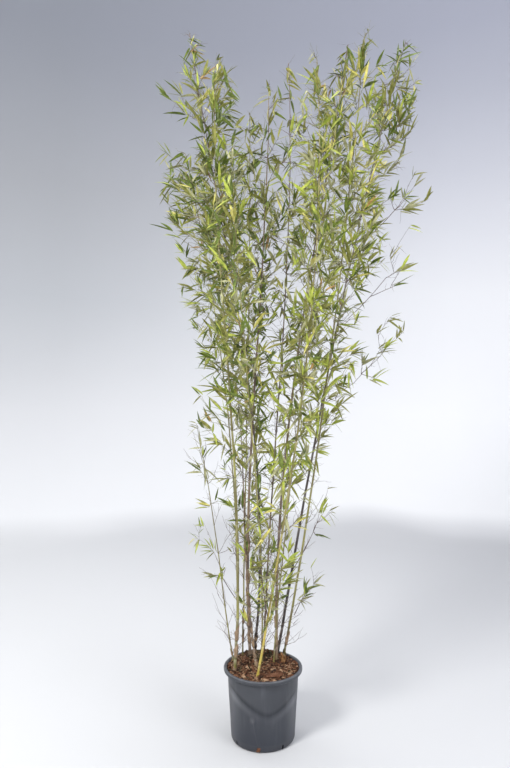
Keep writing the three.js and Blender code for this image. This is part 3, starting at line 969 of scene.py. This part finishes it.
def leaf_spray(growth, mass, tip, axis, count, rng):
    """A fan of leaves on a shoot; a leaf that would leave the mass is turned in and cut shorter."""
    tint = spray_tint(tip, rng)
    side = unit(np.cross(axis, [rng.gauss(0, 1), rng.gauss(0, 1), rng.gauss(0, 0.5)]))
    for k in range(count):
        swing = (0, 1, -1, 2, -2, 3, -3)[k] * rng.uniform(0.3, 0.5) + rng.gauss(0, 0.1)
        sag = np.array([0, 0, -0.12 * abs(swing)])
        ahead = unit(axis * math.cos(swing) + side * math.sin(swing) + sag + jitter(rng, 0.1))
        base = tip - axis * 0.007 * k + side * 0.0008 * math.copysign(1, swing)
        length = rng.uniform(*LEAF_LENGTH) * (1.0 if k else 1.08)
        for _ in range(3):
            end = base + ahead * length
            if mass.holds(end) and (end > BOX_LOW).all() and (end < BOX_HIGH).all():
                break
            ahead, length = unit(ahead + 0.5 * unit(mass.middle - end)), length * 0.85
        else:
            continue
        facing = [rng.gauss(0, 0.7), rng.gauss(0, 0.7) - 0.25, 1.0]
        blade = unit(np.cross(ahead, unit(np.cross(ahead, facing))))
        own = tint if rng.random() < 0.72 else spray_tint(tip, rng)
        width, droop = length * rng.uniform(*LEAF_WIDTH), rng.uniform(0.02, 0.22)
        growth.leaves[own].append((base, ahead, -blade, length, width, droop))


def best_start(site, starts, order):
    """Which start a shoot to the site leaves from: near, at an easy slant, and few shoots from the cane."""
    away = site - np.array(starts)
    flat, rise = np.hypot(away[:, 0], away[:, 1]), away[:, 2]
    slant = np.abs(np.arctan2(rise, flat) - 0.75)
    cost = np.linalg.norm(away, axis=1) * (1 + 1.6 * slant) + 0.03 * np.array(order)
    cost[rise < -0.03] += 0.5
    return int(cost.argmin())


def grow(mass, limb, growth):
    """Forked shoots from the limb's joints out to every site, with a spray at each and leaves before it."""
    rng = random.Random(mass.name)
    kind = "twig_dark" if limb.name in DARK_CANES or limb.name.startswith("bough") else "twig_green"
    lowest = mass.low[2] - (0.34 if limb.name.startswith("culm") else 0.5)
    joints = [height for height in limb.joints[1:] if lowest < height < mass.high[2] + 0.02] or [limb.tip]
    starts = [limb.at(height) for height in joints]
    order = [0] * len(starts)
    spots = spray_sites(mass, rng) + further_spots(mass, limb, rng)
    for site in sorted(spots, key=lambda spot: np.linalg.norm(spot - limb.beside(spot))):
        parent = best_start(site, starts, order)
        lift = -0.05 + 0.12 * rng.random()
        thick = SHOOT_THICK[min(order[parent], len(SHOOT_THICK) - 1)]
        line = growth.twig(kind, starts[parent], site, lift, thick, rng)
        starts += list(line[2:5])
        order += [order[parent] + 1] * 3
        outward = unit((site - limb.beside(site)) * np.array([1, 1, 0.3]))
        upright = 0.75 * np.clip((site[2] - 1.9) / 0.8, 0, 1)
        climb = np.array([0, 0, upright + rng.gauss(0, 0.25)])
        axis = unit(0.55 * unit(line[5] - line[4]) + 0.6 * outward + climb)
        leaf_spray(growth, mass, line[5], axis, rng.choice((3, 3, 4, 4, 5, 6)), rng)
        if rng.random() < 0.55:
            leaf_spray(growth, mass, line[4], unit(axis + jitter(rng, 0.5)), rng.choice((1, 2, 2)), rng)
        for start in line[1:4]:
            if rng.random() < 0.7:
                aside = [rng.gauss(0, 0.7), rng.gauss(0, 0.7), rng.gauss(0.3, 0.6)]
                end = start + unit(outward + np.array(aside)) * rng.uniform(0.02, 0.07)
                growth.twig(kind, start, end, 0.0, 0.0006, rng)


def wiry_shoot(growth, start, rng):
    """One bare shoot, with up to two forks."""
    yaw, climb = rng.uniform(0, 2 * math.pi), rng.uniform(0.5, 1.2)
    flat = math.cos(climb)
    ahead = np.array([math.cos(yaw) * flat, math.sin(yaw) * flat, math.sin(climb)])
    line = growth.twig("twig_dark", start, start + ahead * rng.uniform(0.05, 0.17), -0.06, 0.0010, rng)
    for joint in line[2:4]:
        if rng.random() < 0.6:
            end = joint + unit(ahead + jitter(rng, 0.6)) * rng.uniform(0.02, 0.07)
            growth.twig("twig_dark", joint, end, 0.0, 0.0007, rng)


def wiry_foot(limbs, growth):
    """Bare wiry shoots, dry and forked, from the lower joints of the canes."""
    rng = random.Random(23)
    for name in sorted(CANES):
        limb = limbs[name]
        for height in limb.joints[1:]:
            if height < WIRY_TOP:
                for _ in range(rng.choice((1, 2, 2, 3))):
                    wiry_shoot(growth, limb.at(height), rng)


def leaf_blank():
    """A lance-shaped leaf, one long and one wide, folded a little along its rib."""
    bpy.ops.object.select_all(action="DESELECT")
    spans = len(LEAF_SHAPE) - 1
    bpy.ops.mesh.primitive_grid_add(x_subdivisions=spans, y_subdivisions=2, size=2, location=(0, 0, 0))
    leaf = bpy.context.active_object
    points = points_of(leaf)
    column = np.round((points[:, 0] + 1) / 2 * spans).astype(int)
    along, wide = np.array(LEAF_SHAPE)[column].T
    across = points[:, 1]
    place_points(leaf, np.column_stack([along, across * wide / 2, np.abs(across) * wide * LEAF_FOLD]))
    return blank_of(leaf)


def join_leaves(growth):
    """Sets the blank leaf at every leaf's place, one piece for each tint."""
    shape, corners = leaf_blank()
    soft_nodes = [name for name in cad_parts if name.startswith("leaves_")]
    for tint, leaves in growth.leaves.items():
        base, ahead, up = (np.array([leaf[k] for leaf in leaves])[:, None, :] for k in range(3))
        length, width, droop = (np.array([leaf[k] for leaf in leaves])[:, None, None] for k in range(3, 6))
        side = np.cross(up, ahead)
        u, v, w = (shape[None, :, k, None] for k in range(3))
        sag = np.array([0, 0, 1.0]) * droop * length * u ** 2.2
        points = base + ahead * u * length + side * v * width + up * (w * width) - sag
        points = np.clip(points, BOX_LOW, BOX_HIGH)
        faces = corners[None] + (np.arange(len(leaves)) * len(shape))[:, None, None]
        piece = joined("leaves_" + tint, [(points.reshape(-1, 3), faces.reshape(-1, 3))])
        dress(piece, LEAF_TINTS[tint], "leaves", *soft_nodes)


def tube_faces(rings):
    """The triangles of a four-sided tube that is closed at both ends."""
    faces = []
    for ring in range(0, 4 * (rings - 1), 4):
        for side in range(4):
            a, b = ring + side, ring + (side + 1) % 4
            faces += [(a, b, b + 4), (a, b + 4, a + 4)]
    last = 4 * (rings - 1)
    return np.array(faces + [(0, 2, 1), (0, 3, 2), (last, last + 1, last + 2), (last, last + 2, last + 3)])


def join_twigs(growth):
    """Draws a tapering four-sided shoot along every line, one piece for each kind."""
    corners = np.array([(1, 0), (0, 1), (-1, 0), (0, -1)])
    for kind, twigs in growth.twigs.items():
        parts = []
        for line, thick in twigs:
            ahead = np.gradient(line, axis=0)
            ahead /= np.linalg.norm(ahead, axis=1)[:, None]
            first = np.cross(ahead, [0.31, 0.93, 0.2])
            first /= np.linalg.norm(first, axis=1)[:, None]
            second = np.cross(ahead, first)
            girth = np.linspace(thick, 0.45 * thick, len(line))
            around = corners[None, :, :1] * first[:, None] + corners[None, :, 1:] * second[:, None]
            rings = (line[:, None] + girth[:, None, None] * around).reshape(-1, 3)
            parts.append((np.clip(rings, BOX_LOW, BOX_HIGH), tube_faces(len(line))))
        dress(joined("shoots_" + kind.split("_")[1], parts), FINISHES[kind], "bough")


# ---- stage ----

def make_stage():
    """A round white floor that sweeps up into a wall."""
    radius, sweep = STAGE["radius"], STAGE["sweep"]
    angles = [math.radians(9 * k) for k in range(11)]
    curve = [(radius - sweep + sweep * math.sin(a), sweep - sweep * math.cos(a)) for a in angles]
    profile = [(0.02, 0.0), (1.0, 0.0), (2.4, 0.0), *curve, (radius, STAGE["wall"])]
    floor = turned("studio_sweep", profile, 96, capped=False)
    pick(floor)
    mode("EDIT")
    bpy.ops.mesh.select_all(action="DESELECT")
    mode("OBJECT")
    for vertex in floor.data.vertices:
        vertex.select = math.hypot(vertex.co.x, vertex.co.y) < 0.03
    mode("EDIT")
    bpy.ops.mesh.edge_face_add()
    bpy.ops.mesh.select_all(action="SELECT")
    bpy.ops.mesh.normals_make_consistent(inside=True)
    mode("OBJECT")
    floor.data.materials.append(FINISHES["studio"])


def lamp(name, place, aim, size, power, colour):
    light = bpy.data.lights.new(name, "AREA")
    light.shape, light.size = "DISK", size
    light.energy, light.color = power, colour
    holder = placed(name, light)
    holder.location = place
    holder.rotation_euler = (Vector(aim) - Vector(place)).to_track_quat("-Z", "Y").to_euler()
    holder.visible_camera = False


def make_lights():
    lamp("key", (-2.3, -2.7, 3.6), (0, 0, 1.1), 1.1, 180, (1.0, 0.99, 0.97))
    lamp("fill", (2.8, -2.6, 2.4), (0, 0, 1.3), 2.6, 78, (0.97, 0.975, 1.0))
    lamp("back_left", (-2.4, 2.6, 3.8), (0, 0, 1.2), 2.4, 40, (1.0, 1.0, 1.0))
    lamp("top", (0.6, 0.4, 5.2), (0.2, 0, 0), 3.0, 80, (1.0, 1.0, 1.0))
    world = bpy.data.worlds.new("studio_air")
    bpy.context.scene.world = world
    world.use_nodes = True
    air = world.node_tree.nodes["Background"].inputs
    air["Color"].default_value = (0.88, 0.9, 0.96, 1)
    air["Strength"].default_value = 0.86
    bpy.context.scene.view_settings.view_transform = "Standard"


def make_camera():
    camera = bpy.data.cameras.new("camera")
    camera.lens, camera.sensor_width = CAMERA["lens"], CAMERA["sensor"]
    holder = placed("camera", camera)
    holder.location = CAMERA["place"]
    holder.rotation_euler = (math.pi / 2, 0, 0)
    bpy.context.scene.camera = holder


make_camera()
make_stage()
make_lights()
make_pot()
make_soil()
make_bark()
make_stump()

limbs = {name: Limb(name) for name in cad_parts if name.startswith(("culm_", "bough_"))}
internode = turned("internode", INTERNODE, CANE_SIDES, capped=False)
for name, limb in limbs.items():
    if name in CANES:
        dress(grown(internode, limb), FINISHES[CANES[name]], "cane_" + CANES[name], name)
    else:
        dress(grown(internode, limb), FINISHES["twig_dark"], "bough", name)
bpy.data.objects.remove(internode)
make_sheaths(limbs)

growth = Growth()
for name in sorted(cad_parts):
    if name.startswith("leaves_"):
        grow(Mass(name), limb_of(name, limbs), growth)
wiry_foot(limbs, growth)
join_twigs(growth)
join_leaves(growth)
